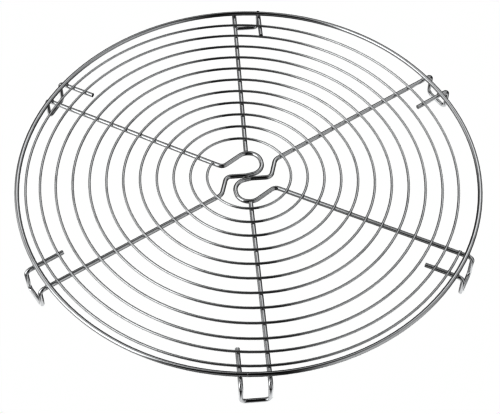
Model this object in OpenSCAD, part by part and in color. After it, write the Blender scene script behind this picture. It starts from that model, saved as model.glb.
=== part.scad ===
// Round wire cooling rack: a rim ring and a flat spiral of thin wire, welded on top of six
// arms of thicker wire. Every arm runs out under the rim, bends down and back up as a foot,
// and ends in a short stub that lies beside it. Four arms are the two halves of a pair of
// wires that cross the middle in an S; the other two are single wires butted against them.
// Origin at the middle of the rack on the plane it stands on, +Z up, +Y along the back arm.

/* [Rim] */
// Diameter of the rim ring, centre line to centre line
rim_diameter = 320; // [316:1:340]
// Wire diameter of the rim ring
rim_d = 3.0; // [2.6:0.1:3.6]
// Where the ring's own two ends are welded together, as an angle round the rim
rim_joint_angle = 265; // [250:1:290]

/* [Arms] */
// Wire diameter of the arms and their feet
arm_d = 2.8; // [2.4:0.1:3.2]
// How far the arms' centre line lies above the bars that the rack stands on
arm_rise = 17.8; // [12:0.1:30]
// Bend radius of the S where it curls
curl_r = 8.8; // [8:0.1:9]
// Bend radius of the feet
foot_bend_r = 3.5; // [3:0.1:4]
// Shift of the S pair's middle from the rack's middle
hub_shift = [0, -0.9]; // [-2:0.1:2]
// Place across the rack where the back arm and the front arm meet the curls
butt_x = [-0.1, -0.5]; // [-2:0.1:2]

/* [Feet] */
// Distance between the two legs of a foot, centre to centre
foot_width = 18.6; // [14:0.1:26]
// How far the stubs run inwards from the rim's centre line, at 30, 90 and 150 degrees
back_stub_reach = [21.8, 22.8, 24.2]; // [16:0.1:30]
// How far the stubs run inwards from the rim's centre line, at 210, 270 and 330 degrees
front_stub_reach = [21.5, 21.4, 22.5]; // [16:0.1:30]
// How far the legs stand outside the rim, on the arms at 30, 90 and 150 degrees
back_leg_reach = [6.9, 4.6, 3.8]; // [3:0.1:9]
// How far the legs stand outside the rim, on the arms at 210, 270 and 330 degrees
front_leg_reach = [6.5, 6.4, 4.2]; // [3:0.1:9]
// Sideways shift of the arms at the rim, counter-clockwise, at 30, 90 and 150 degrees
back_foot_shift = [1.6, -2.5, -1.7]; // [-3:0.1:3]
// Sideways shift of the arms at the rim, counter-clockwise, at 210, 270 and 330 degrees
front_foot_shift = [2.0, -0.3, 0.0]; // [-3:0.1:3]

/* [Spiral] */
// Wire diameter of the spiral
spiral_d = 1.5; // [1.2:0.1:2]
// Distance between two turns
pitch = 11.57; // [11:0.01:11.6]
// How much the last turn is drawn in at each side
closing_draw = 0.8; // [0:0.1:1.5]
// How far the coil's middle moves back at each half turn of the last two turns
closing_shift = 0.9; // [0:0.1:1]
// Shift of the spiral's middle from the rack's middle
spiral_shift = [-2.7, -1.3]; // [-4:0.1:-1]
// How far the quarters of an outer turn differ in radius from those of a round coil
spiral_oval = 3.4; // [0:0.1:3.8]

/* [Welds] */
// Depth that two wires sink into each other where they are welded
weld_sink = 0.1; // [0.05:0.05:0.2]
// Size of the bead of metal around a thin crossing
small_bead_d = 1.9; // [1.6:0.1:2.2]
// Size of the bead of metal around a thick crossing
large_bead_d = 2.6; // [2.2:0.1:3]
// Size of the bead of metal where a single arm meets the curl
butt_bead_d = 3.1; // [2.9:0.1:3.4]
// Place across the rack of the weld between the two S wires
hub_weld_x = -1.9; // [-4:0.1:4]
// How much thicker the rim is at its own weld
joint_swell = 0.3; // [0.2:0.1:0.6]

/* [Hidden] */
$fn = 48;

rim_r = rim_diameter / 2;
first_arm = 30;
arm_step = 60;
arm_angles = [first_arm : arm_step : 330];
stub_reach = concat(back_stub_reach, front_stub_reach);
leg_reach = concat(back_leg_reach, front_leg_reach);
foot_shift = concat(back_foot_shift, front_foot_shift);

// Faint ring that the former leaves at each end of a bend
ridge_d = arm_d + 0.02;
ridge_w = 0.2;

bar_z = ridge_d / 2;
arm_z = bar_z + arm_rise;
arm_top = arm_z + arm_d / 2;
rim_z = arm_top + rim_d / 2 - weld_sink;
spiral_z = arm_top + spiral_d / 2 - weld_sink;

// The spiral runs outwards in quarter turns, from just past the arm at 150 degrees to the one
// opposite, eleven and a half turns on. Its own axes are turned a little from the rack's.
spiral_turn = 8;
spiral_start = 142 - spiral_turn;
spiral_turns = 11;
spiral_end = 330 - spiral_turn + spiral_turns * 360;
first_quarter = floor(spiral_start / 90);
last_quarter = ceil(spiral_end / 90) - 1;
// Radius of the innermost quarter turn
first_radius = 23.43;
// How oval the last turn is, next to how oval it would be if it went on like the others
last_turn_oval = 0.5;

function unit(v) = v / norm(v);
function xy(v) = [v[0], v[1]];
function xyz(v) = [v[0], v[1], v[2]];

// Corner of a bent wire: a place out along an arm, shifted to its side, with its bend radius
function corner(angle, r, side, z, bend_r = 0) =
    [r * cos(angle) - side * sin(angle), r * sin(angle) + side * cos(angle), z, bend_r];

// Corners from the stub's end, down and round the foot, up to the arm
function foot(angle) =
    let (
        i = (angle - first_arm) / arm_step,
        stub_r = rim_r - stub_reach[i],
        leg_r = rim_r + leg_reach[i],
        arm_side = foot_shift[i],
        stub_side = foot_shift[i] - foot_width
    )
    [
        corner(angle, stub_r, stub_side, arm_z),
        corner(angle, leg_r, stub_side, arm_z, foot_bend_r),
        corner(angle, leg_r, stub_side, bar_z, foot_bend_r),
        corner(angle, leg_r, arm_side, bar_z, foot_bend_r),
        corner(angle, leg_r, arm_side, arm_z, foot_bend_r)
    ];

// Corners of the left wire's S about the pair's middle, from the arm at 150 degrees, round the
// curl, through the middle beside the other wire, to the arm at 210 degrees
s_middle_y = (arm_d - weld_sink) / 2;
s_corners = [
    [-17.3, 10.5, arm_z, 4.5],
    [-2.3, 21.7, arm_z, curl_r],
    [8.6, 21.3, arm_z, curl_r],
    [11.3, 4.2, arm_z, curl_r],
    [-1.5, s_middle_y, arm_z, curl_r],
    [-15.5, s_middle_y, arm_z, 4.5],
    [-19.9, -14.4, arm_z, 6.5]
];
// Where the curl's far side passes the rack's middle line
curl_top_y = 21.4;

// The S corners where they lie: side is 1 for the left wire, -1 for the right one
function s_bend(side) =
    [for (c = s_corners) [hub_shift.x + side * c.x, hub_shift.y + side * c.y, c[2], c[3]]];

// End of a single arm on the curl's outside: side is 1 for the back arm, -1 for the front one
function butt_end(side) =
    [
        side > 0 ? butt_x[0] : butt_x[1],
        hub_shift.y + side * (curl_top_y + arm_d / 2 - weld_sink),
        arm_z
    ];

function reversed(list) = [for (i = [len(list) - 1 : -1 : 0]) list[i]];

function heading(p, i) = unit(xyz(p[i + 1]) - xyz(p[i]));
function turn(p, i) = acos(heading(p, i - 1) * heading(p, i));
// Length of a bend's tangents; the end corners have no bend
function reach(p, i) = i == 0 || i == len(p) - 1 ? 0 : p[i][3] * tan(turn(p, i) / 2);

module aim(at, direction)
    translate(at) rotate([0, acos(direction.z), atan2(direction.y, direction.x)]) children();

module straight(p, i, d) {
    direction = heading(p, i);
    from = xyz(p[i]) + direction * reach(p, i);
    length = norm(xyz(p[i + 1]) - xyz(p[i])) - reach(p, i) - reach(p, i + 1);
    aim(from, direction) cylinder(d = d, h = length);
    if (i > 0)
        aim(from, direction) cylinder(d = ridge_d, h = ridge_w, center = true);
    if (i < len(p) - 2)
        aim(from + direction * length, direction) cylinder(d = ridge_d, h = ridge_w, center = true);
}

module bend(p, i, d) {
    along = heading(p, i - 1);
    inwards = unit(heading(p, i) - along * (along * heading(p, i)));
    normal = cross(-inwards, along);
    centre = xyz(p[i]) - along * reach(p, i) + inwards * p[i][3];
    multmatrix([
        [-inwards.x, along.x, normal.x, centre.x],
        [-inwards.y, along.y, normal.y, centre.y],
        [-inwards.z, along.z, normal.z, centre.z],
        [0, 0, 0, 1]
    ])
        rotate_extrude(angle = turn(p, i)) translate([p[i][3], 0]) circle(d = d);
}

// Wire through a row of corners [x, y, z, bend radius]
module bent_wire(p, d) {
    for (i = [0 : len(p) - 2]) straight(p, i, d);
    for (i = [1 : len(p) - 2]) bend(p, i, d);
}

module s_wire(side, first_angle, last_angle)
    bent_wire(concat(foot(first_angle), s_bend(side), reversed(foot(last_angle))), arm_d);

module single_arm(side, angle)
    bent_wire(concat(foot(angle), [butt_end(side)]), arm_d);

// The radius grows at the joints between quarter turns on the X axis, by half a pitch, and by
// less in the last turn. In the last two turns it also shrinks at the back joints and grows at
// the front ones, which moves the coil's middle back and so draws in the front. The coil gets
// more oval as it goes: every other quarter is wider than round, and those between are tighter.
function oval(k) =
    spiral_oval * (k - first_quarter) / (4 * spiral_turns)
    * (k % 2 == 0 ? 1 : -1) * (is_in_last(1, k) ? last_turn_oval : 1);
function is_in_last(turns, joint) = joint > last_quarter - 4 * turns;
function round_growth(joint) =
    joint % 2 == 0 ? pitch / 2 - (is_in_last(1, joint) ? closing_draw : 0)
    : is_in_last(2, joint) ? -closing_shift * sin(90 * joint)
    : 0;
function growth(joint) = round_growth(joint) + oval(joint) - oval(joint - 1);
function quarter_r(k) = k == first_quarter ? first_radius : quarter_r(k - 1) + growth(k);
function quarter_middle(k) =
    k == first_quarter ? [-pitch / 4, 0]
    : quarter_middle(k - 1) - growth(k) * [round(cos(90 * k)), round(sin(90 * k))];

module spiral() {
    for (k = [first_quarter : last_quarter]) {
        from = max(90 * k, spiral_start);
        to = min(90 * (k + 1), spiral_end);
        translate(quarter_middle(k))
            rotate_extrude(start = from % 360, angle = to - from)
                translate([quarter_r(k), 0]) circle(d = spiral_d);
    }
}

function turned(v, a) = [v.x * cos(a) - v.y * sin(a), v.x * sin(a) + v.y * cos(a)];

// Straight stretches that the rim and the spiral lie across, each from its inner to its outer end
function arm_start(angle) =
    angle == 90 ? butt_end(1) : angle == 270 ? butt_end(-1)
    : angle == 150 ? s_bend(1)[0] : angle == 330 ? s_bend(-1)[0]
    : angle == 210 ? s_bend(1)[len(s_corners) - 1] : s_bend(-1)[len(s_corners) - 1];
bearers = [
    for (angle = arm_angles) each [
        [xy(arm_start(angle)), xy(foot(angle)[4])],
        [xy(foot(angle)[0]), xy(foot(angle)[1])]
    ]
];

// Where a bearer, on its way out, crosses a circle
function crossing(bearer, middle, r) =
    let (
        direction = unit(bearer[1] - bearer[0]),
        to_middle = middle - bearer[0],
        along = to_middle * direction
    )
    bearer[0] + direction * (along + sqrt(max(0, r * r - to_middle * to_middle + along * along)));

function is_outwards_of_start(bearer, point) = (point - bearer[0]) * (bearer[1] - bearer[0]) > 0;

// Whether a point on quarter turn k's circle lies on the quarter that the wire follows
function is_on_quarter(point, middle, k) =
    let (
        arm = point - middle,
        angle = (atan2(arm.y, arm.x) - spiral_turn + 360) % 360 + 360 * floor(90 * k / 360)
    )
    angle >= max(90 * k, spiral_start) && angle < min(90 * (k + 1), spiral_end);

module rim_ring() {
    color("silver")
        translate([0, 0, rim_z]) rotate_extrude() translate([rim_r, 0]) circle(d = rim_d);
}

module spiral_wire() {
    color("silver")
        translate([spiral_shift.x, spiral_shift.y, spiral_z]) rotate([0, 0, spiral_turn]) spiral();
}

module left_s_wire() {
    color("gainsboro") s_wire(1, 150, 210);
}

module right_s_wire() {
    color("gainsboro") s_wire(-1, 330, 30);
}

module back_arm() {
    color("lightgray") single_arm(1, 90);
}

module front_arm() {
    color("lightgray") single_arm(-1, 270);
}

// Bead of metal squeezed out where a wire lies across a bearer
module bead(at, d)
    translate([at.x, at.y, arm_top - weld_sink / 2]) sphere(d = d);

module rim_welds() {
    color("darkgray") {
        for (bearer = bearers) bead(crossing(bearer, [0, 0], rim_r), large_bead_d);
        rotate([0, 0, rim_joint_angle]) translate([rim_r, 0, rim_z]) sphere(d = rim_d + joint_swell);
    }
}

module spiral_welds() {
    color("darkgray")
        for (bearer = bearers, k = [first_quarter : last_quarter]) {
            middle = spiral_shift + turned(quarter_middle(k), spiral_turn);
            point = crossing(bearer, middle, quarter_r(k));
            if (is_outwards_of_start(bearer, point) && is_on_quarter(point, middle, k))
                bead(point, small_bead_d);
        }
}

module hub_welds() {
    color("darkgray") {
        translate([hub_weld_x, hub_shift.y, arm_z]) sphere(d = large_bead_d);
        for (side = [1, -1]) translate(butt_end(side)) sphere(d = butt_bead_d);
    }
}

rim_ring();
spiral_wire();
left_s_wire();
right_s_wire();
back_arm();
front_arm();
rim_welds();
spiral_welds();
hub_welds();
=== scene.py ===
"""Round wire cooling rack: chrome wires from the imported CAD, in a bright studio."""
import math
import bmesh
import bpy
import numpy as np
from mathutils import Matrix, Vector, noise


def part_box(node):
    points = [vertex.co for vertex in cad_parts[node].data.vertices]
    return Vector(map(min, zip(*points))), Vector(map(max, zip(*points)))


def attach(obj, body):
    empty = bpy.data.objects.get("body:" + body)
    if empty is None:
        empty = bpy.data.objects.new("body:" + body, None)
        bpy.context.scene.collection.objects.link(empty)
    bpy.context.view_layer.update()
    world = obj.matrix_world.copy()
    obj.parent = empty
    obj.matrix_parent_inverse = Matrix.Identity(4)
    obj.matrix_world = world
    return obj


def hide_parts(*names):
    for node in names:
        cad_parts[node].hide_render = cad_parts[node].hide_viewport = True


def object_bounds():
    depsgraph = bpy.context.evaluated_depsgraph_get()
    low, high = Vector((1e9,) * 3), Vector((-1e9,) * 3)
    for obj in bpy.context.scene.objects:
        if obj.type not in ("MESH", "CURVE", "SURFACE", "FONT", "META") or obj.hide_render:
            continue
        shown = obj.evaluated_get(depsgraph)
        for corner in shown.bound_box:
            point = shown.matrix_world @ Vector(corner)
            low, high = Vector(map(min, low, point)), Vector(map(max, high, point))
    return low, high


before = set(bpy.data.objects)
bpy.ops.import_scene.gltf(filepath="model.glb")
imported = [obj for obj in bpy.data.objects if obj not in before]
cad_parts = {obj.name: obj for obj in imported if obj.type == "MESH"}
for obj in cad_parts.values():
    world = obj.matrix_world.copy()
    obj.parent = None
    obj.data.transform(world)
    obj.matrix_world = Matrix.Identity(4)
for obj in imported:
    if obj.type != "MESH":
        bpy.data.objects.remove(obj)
cad_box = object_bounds()
MM = 0.001


# ---------------------------------------------------------------- node helpers
class Nodes:
    """Small helper round a node tree, so that a material reads as a formula."""

    def __init__(self, tree):
        self.tree = tree
        tree.nodes.clear()

    def add(self, kind, inputs=(), **settings):
        node = self.tree.nodes.new(kind)
        for key, value in settings.items():
            setattr(node, key, value)
        for key, value in dict(inputs).items():
            if hasattr(value, "is_output"):
                self.tree.links.new(value, node.inputs[key])
            else:
                node.inputs[key].default_value = value
        return node

    def math(self, operation, *values):
        return self.add("ShaderNodeMath", dict(enumerate(values)), operation=operation).outputs[0]

    def vector_math(self, operation, *values):
        return self.add("ShaderNodeVectorMath", dict(enumerate(values)), operation=operation)

    def ramp(self, value, low, high, out_low, out_high):
        """A smooth step from out_low to out_high as the value goes from low to high."""
        node = self.add("ShaderNodeMapRange", {0: value, 1: low, 2: high, 3: out_low, 4: out_high},
                        interpolation_type="SMOOTHSTEP")
        return node.outputs[0]

    def noise(self, vector, scale, detail, rough):
        node = self.add("ShaderNodeTexNoise", {
            "Vector": vector, "Scale": scale, "Detail": detail, "Roughness": rough})
        return node.outputs["Fac"]

    def object_place(self):
        return self.add("ShaderNodeTexCoord").outputs["Object"]

    def metal(self, colour, roughness, bump):
        surface = self.add("ShaderNodeBsdfPrincipled", {
            "Base Color": colour, "Metallic": 1.0, "Roughness": roughness,
            "Normal": bump.outputs[0]})
        self.add("ShaderNodeOutputMaterial", {"Surface": surface.outputs[0]})

    def mix(self, factor, a, b):
        node = self.add("ShaderNodeMix", data_type="RGBA")
        for socket, value in ((node.inputs[0], factor), (node.inputs[6], a), (node.inputs[7], b)):
            if hasattr(value, "is_output"):
                self.tree.links.new(value, socket)
            else:
                socket.default_value = value
        return node.outputs[2]


def node_material(name):
    material = bpy.data.materials.new(name)
    material.use_nodes = True
    return material, Nodes(material.node_tree)


# ---------------------------------------------------------------- metal
# Colours of the plating, of the steel where it is rubbed or sooty, and of a pit
CHROME = (0.64, 0.645, 0.65, 1)
STEEL = (0.36, 0.355, 0.35, 1)
PIT = (0.16, 0.15, 0.14, 1)
# Scales of the noises, in features per metre
DULL_PATCHES = 60
RIPPLES = 150
PITS = 1400
SCUFFS = 800
DRAWING_LINES = 6000
WELD_LUMPS = 900
WELD_SOOT = 400
# Width of a drawing line as a part of its length
LINE_STRETCH = 0.02
# Heights above the floor between which a foot's rubbed underside fades out
RUBBED_FULL = 0.2 * MM
RUBBED_NONE = 1.0 * MM
# Depths of the drawing lines and the pits as parts of the relief, and the relief's own height
LINE_DEPTH = 0.015
PIT_DEPTH = 0.05
WIRE_RELIEF = 0.1 * MM
WELD_RELIEF = 0.12 * MM


def drawing_lines(n, at, round_the_rack):
    """Fine lines that the drawing die left along a wire, which runs round the rack or outwards."""
    x, y, z = n.add("ShaderNodeSeparateXYZ", {0: at}).outputs
    radius = n.math("SQRT", n.math("ADD", n.math("MULTIPLY", x, x), n.math("MULTIPLY", y, y)))
    arc = n.math("MULTIPLY", n.math("ARCTAN2", y, x), radius)
    across, along = (radius, arc) if round_the_rack else (arc, radius)
    lines = n.add("ShaderNodeCombineXYZ", {
        0: across, 1: n.math("MULTIPLY", along, LINE_STRETCH), 2: z})
    return n.noise(lines.outputs[0], DRAWING_LINES, detail=2, rough=0.6), z


def chrome(name, rough, waviness, stain, round_the_rack):
    """Bright plating over drawn wire: slightly wavy, with drawing lines, pits, dull patches and
    the rubbed undersides that the rack stands on."""
    material, n = node_material(name)
    at = n.object_place()
    lines, height_above = drawing_lines(n, at, round_the_rack)
    patches = n.noise(at, DULL_PATCHES, detail=4, rough=0.6)
    ripple = n.noise(at, RIPPLES, detail=2, rough=0.4)
    pits = n.ramp(n.noise(at, PITS, detail=2, rough=0.6), 0.66, 0.74, 0, 1)
    dull = n.ramp(patches, 0.5, 0.75, 0, 1)
    scuffs = n.ramp(n.noise(at, SCUFFS, detail=3, rough=0.7), 0.4, 0.6, 0.2, 1)
    rubbed = n.math("MULTIPLY", n.ramp(height_above, RUBBED_FULL, RUBBED_NONE, 1, 0), scuffs)
    dark = tuple(c * (1 - stain) for c in CHROME[:3]) + (1,)
    colour = n.mix(dull, CHROME, dark)
    colour = n.mix(n.math("MULTIPLY", rubbed, 0.5), colour, STEEL)
    colour = n.mix(n.math("MULTIPLY", pits, 0.5), colour, PIT)
    roughness = n.math("ADD", n.ramp(patches, 0.35, 0.75, rough, rough * 2.2),
                       n.math("MULTIPLY", n.math("MAXIMUM", pits, rubbed), 0.25))
    relief = n.math("ADD", n.math("MULTIPLY", ripple, waviness),
                    n.math("ADD", n.math("MULTIPLY", lines, LINE_DEPTH),
                           n.math("MULTIPLY", pits, -PIT_DEPTH)))
    n.metal(colour, roughness, n.add("ShaderNodeBump", {
        "Height": relief, "Strength": 1.0, "Distance": WIRE_RELIEF}))
    return material


def weld_metal(name):
    """Squeezed-out weld metal under the plating: duller, darker and lumpy."""
    material, n = node_material(name)
    at = n.object_place()
    lumps = n.noise(at, WELD_LUMPS, detail=4, rough=0.6)
    soot = n.noise(at, WELD_SOOT, detail=3, rough=0.6)
    colour = n.mix(n.ramp(soot, 0.4, 0.65, 0, 1), CHROME, STEEL)
    n.metal(colour, n.ramp(lumps, 0.3, 0.7, 0.12, 0.34), n.add("ShaderNodeBump", {
        "Height": lumps, "Strength": 1.0, "Distance": WELD_RELIEF}))
    return material


rim_chrome = chrome("rim_chrome", 0.05, 0.10, 0.12, True)
spiral_chrome = chrome("spiral_chrome", 0.06, 0.10, 0.15, True)
arm_chrome = chrome("arm_chrome", 0.06, 0.12, 0.15, False)
welds = weld_metal("weld_metal")

FINISH = {
    "rim_ring": rim_chrome, "spiral_wire": spiral_chrome,
    "left_s_wire": arm_chrome, "right_s_wire": arm_chrome,
    "back_arm": arm_chrome, "front_arm": arm_chrome,
    "rim_welds": welds, "spiral_welds": welds, "hub_welds": welds,
}
for name, material in FINISH.items():
    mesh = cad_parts[name].data
    mesh.materials.clear()
    mesh.materials.append(material)


# ---------------------------------------------------------------- welds
# How uneven a lump is, as a part of its size
LUMP_ROUGHNESS = 0.16
# Half sizes of the lumps along, across and up, in millimetres, and their reach into the corners
SPIRAL_LUMP = ((0.8, 0.85, 0.62), 0.75)
RIM_LUMP = ((1.35, 1.2, 0.85), 0.6)
RIM_JOINT_LUMP = ((1.55, 0.8, 1.5), 0.0)
S_WIRES_LUMP = ((2.3, 0.95, 1.12), 0.0)
BUTT_LUMP = ((1.6, 1.0, 1.55), 0.0)
# How far from the rack's middle line the weld between the S wires can lie
S_WIRES_REACH = 5 * MM
# How far below the rim's middle the welds under it lie, at least
RIM_WELD_DROP = 1 * MM
ARM_STEP = math.radians(60)


def bead_middles(node):
    """Middles of a weld node's beads, which are the separate islands of its mesh."""
    bm = bmesh.new()
    bm.from_mesh(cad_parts[node].data)
    seen = set()
    middles = []
    for first in bm.verts:
        if first in seen:
            continue
        seen.add(first)
        island = [first]
        for vertex in island:
            neighbours = {edge.other_vert(vertex) for edge in vertex.link_edges} - seen
            seen |= neighbours
            island.extend(neighbours)
        places = np.array([vertex.co for vertex in island])
        middles.append(Vector((places.min(axis=0) + places.max(axis=0)) / 2))
    bm.free()
    return middles


def lump(bm, at, angle, half_sizes, corners):
    """Squeezed-out metal: half sizes along, across and up, and its extra reach into the four
    corners between two crossed wires."""
    turn = Matrix.Rotation(angle, 3, "Z")
    for v in bmesh.ops.create_icosphere(bm, subdivisions=3, radius=1)["verts"]:
        way = v.co.normalized()
        level = way.x ** 2 + way.y ** 2
        reach = 1 + corners * (2 * way.x * way.y) ** 2 / max(level, 1e-6)
        reach += LUMP_ROUGHNESS * noise.fractal(way * 1.6 + at / MM, 0.6, 2.0, 3)
        v.co = at + turn @ Vector(way[i] * half_sizes[i] * reach * MM for i in range(3))


def arm_direction(at):
    """Angle of the arm that a place on the rack belongs to, or of the stub beside it."""
    return (math.floor(math.atan2(at.y, at.x) / ARM_STEP) + 0.5) * ARM_STEP


def weld_piece(name, node, shape):
    """One piece that stands for a weld node; shape gives a lump's angle and form by its place."""
    bm = bmesh.new()
    for at in bead_middles(node):
        angle, (half_sizes, corners) = shape(at)
        lump(bm, at, angle, half_sizes, corners)
    mesh = bpy.data.meshes.new(name)
    bm.to_mesh(mesh)
    bm.free()
    for polygon in mesh.polygons:
        polygon.use_smooth = True
    mesh.materials.append(welds)
    piece = bpy.data.objects.new(name, mesh)
    bpy.context.scene.collection.objects.link(piece)
    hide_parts(node)
    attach(piece, "root")


rim_low, rim_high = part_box("rim_ring")
rim_z = (rim_low.z + rim_high.z) / 2


def spiral_weld(at):
    return arm_direction(at), SPIRAL_LUMP


def rim_weld(at):
    if at.z > rim_z - RIM_WELD_DROP:
        return math.atan2(at.y, at.x), RIM_JOINT_LUMP
    return arm_direction(at), RIM_LUMP


def hub_weld(at):
    return 0, S_WIRES_LUMP if abs(at.y) < S_WIRES_REACH else BUTT_LUMP


weld_piece("spiral_weld_metal", "spiral_welds", spiral_weld)
weld_piece("rim_weld_metal", "rim_welds", rim_weld)
weld_piece("hub_weld_metal", "hub_welds", hub_weld)


# ---------------------------------------------------------------- studio
# What a wire reflects, by compass direction (0 back, 90 right, 180 front, 270 left), its half
# width, its lower and upper elevation, all in degrees, how soft its edges are, and brightness.
# An elevation near or past 90 or -90 puts part or all of a soft edge beyond straight up or down.
SOFTBOXES = {
    "key": (250, 25, -10, 60, 5, 1.9),
    "key_edge": (285, 30, -20, 100, 20, 1.2),
    "left_back": (320, 30, 15, 95, 20, 0.7),
    "left_low": (270, 50, -110, 0, 15, 0.6),
    "right": (75, 45, 0, 75, 20, 0.85),
    "right_front": (130, 30, -45, 60, 15, 1.0),
    "front_middle": (205, 30, -30, 25, 10, 0.65),
    "back_high": (15, 30, 35, 60, 10, 1.5),
    "top_left": (270, 40, 50, 90, 10, 1.35),
    "right_low": (110, 35, -110, -25, 15, 0.5),
}
# Brightness of the studio between the zones
ROOM = 0.05
WHITE = (1, 1, 1, 1)

FLOOR_HALF_SIZE = 4.0
# Lit stretch of floor round the feet, which their legs and the rim's lower edge mirror
GLOW_WIDTH = 13 * MM
GLOW_SOFT = 3 * MM
GLOW_STRENGTH = 1.25

# The camera: what it looks at, from how far and from where, its tilt, its lens in millimetres, and
# how far the picture's middle is shifted, as a part of its width
CAMERA_TARGET = Vector((-1.2, -29.4, 21.3)) * MM
CAMERA_DISTANCE = 0.8422
CAMERA_AZIMUTH = math.radians(-5.215)
CAMERA_ELEVATION = math.radians(52.25)
CAMERA_ROLL = math.radians(0.40)
LENS = 89.09
SENSOR_WIDTH = 36
PICTURE_SHIFT = (-0.001, 0.001)


def studio():
    """Zones of light that the wires mirror, and plain white behind the rack for the camera."""
    world = bpy.data.worlds.new("studio")
    bpy.context.scene.world = world
    world.use_nodes = True
    n = Nodes(world.node_tree)
    towards = n.add("ShaderNodeTexCoord").outputs["Generated"]
    flat = n.vector_math("MULTIPLY", towards, (1, 1, 0)).outputs[0]
    flat = n.vector_math("NORMALIZE", flat).outputs[0]
    up = n.add("ShaderNodeSeparateXYZ", {0: towards}).outputs[2]
    elevation = n.math("DEGREES", n.math("ARCSINE", up))
    light = ROOM
    for compass, half, low, high, soft, strength in SOFTBOXES.values():
        angle = math.radians(compass)
        middle = (math.sin(angle), math.cos(angle), 0)
        towards_middle = n.vector_math("DOT_PRODUCT", flat, middle).outputs["Value"]
        away = n.math("DEGREES", n.math("ARCCOSINE", towards_middle))
        wide = n.ramp(away, half - soft, half + soft, 1, 0)
        above = n.ramp(elevation, low - soft, low + soft, 0, 1)
        below = n.ramp(elevation, high - soft, high + soft, 1, 0)
        mask = n.math("MULTIPLY", wide, n.math("MULTIPLY", above, below))
        light = n.math("MAXIMUM", light, n.math("MULTIPLY", mask, strength))
    path = n.add("ShaderNodeLightPath")
    seen = n.add("ShaderNodeBackground", {"Color": WHITE, "Strength": 1.0})
    mirrored = n.add("ShaderNodeBackground", {"Color": WHITE, "Strength": light})
    both = n.add("ShaderNodeMixShader", {
        0: path.outputs["Is Camera Ray"], 1: mirrored.outputs[0], 2: seen.outputs[0]})
    n.add("ShaderNodeOutputWorld", {"Surface": both.outputs[0]})


def floor():
    """Plain white floor. What the wires mirror of it is a lit stretch round the feet; elsewhere
    they mirror the studio through it, as on a lit glass table. From below it can't be seen."""
    z = cad_box[0].z
    size = FLOOR_HALF_SIZE
    mesh = bpy.data.meshes.new("floor")
    mesh.from_pydata([(-size, -size, z), (size, -size, z), (size, size, z), (-size, size, z)],
                     [], [(0, 1, 2, 3)])
    plane = bpy.data.objects.new("floor", mesh)
    bpy.context.scene.collection.objects.link(plane)
    material, n = node_material("floor")
    out = n.vector_math("LENGTH", n.object_place()).outputs["Value"]
    rim_edge = rim_high.x
    outer = rim_edge + GLOW_WIDTH
    inside = n.ramp(out, rim_edge - GLOW_SOFT, rim_edge + GLOW_SOFT, 0, 1)
    outside = n.ramp(out, outer - GLOW_SOFT, outer + GLOW_SOFT, 1, 0)
    lit = n.add("ShaderNodeEmission", {"Color": WHITE, "Strength": GLOW_STRENGTH})
    clear = n.add("ShaderNodeBsdfTransparent")
    from_above = n.math("SUBTRACT", 1.0, n.add("ShaderNodeNewGeometry").outputs["Backfacing"])
    glow = n.math("MULTIPLY", from_above, n.math("MULTIPLY", inside, outside))
    mirrored = n.add("ShaderNodeMixShader", {0: glow, 1: clear.outputs[0], 2: lit.outputs[0]})
    white = n.add("ShaderNodeEmission", {"Color": WHITE, "Strength": 1.0})
    path = n.add("ShaderNodeLightPath")
    seen = n.math("MULTIPLY", from_above, path.outputs["Is Camera Ray"])
    both = n.add("ShaderNodeMixShader", {0: seen, 1: mirrored.outputs[0], 2: white.outputs[0]})
    n.add("ShaderNodeOutputMaterial", {"Surface": both.outputs[0]})
    mesh.materials.append(material)


def camera():
    """The photograph's viewpoint."""
    back = Vector((math.sin(CAMERA_AZIMUTH) * math.cos(CAMERA_ELEVATION),
                   -math.cos(CAMERA_AZIMUTH) * math.cos(CAMERA_ELEVATION),
                   math.sin(CAMERA_ELEVATION)))
    data = bpy.data.cameras.new("camera")
    data.sensor_width = SENSOR_WIDTH
    data.lens = LENS
    data.shift_x, data.shift_y = PICTURE_SHIFT
    cam = bpy.data.objects.new("camera", data)
    bpy.context.scene.collection.objects.link(cam)
    cam.location = CAMERA_TARGET + back * CAMERA_DISTANCE
    turn = (-back).to_track_quat("-Z", "Y").to_matrix().to_4x4()
    cam.rotation_euler = (turn @ Matrix.Rotation(CAMERA_ROLL, 4, "Z")).to_euler()
    bpy.context.scene.camera = cam


studio()
floor()
camera()
# Raw, so that the edges of the thin wires are smoothed in display brightness
bpy.context.scene.view_settings.view_transform = "Raw"
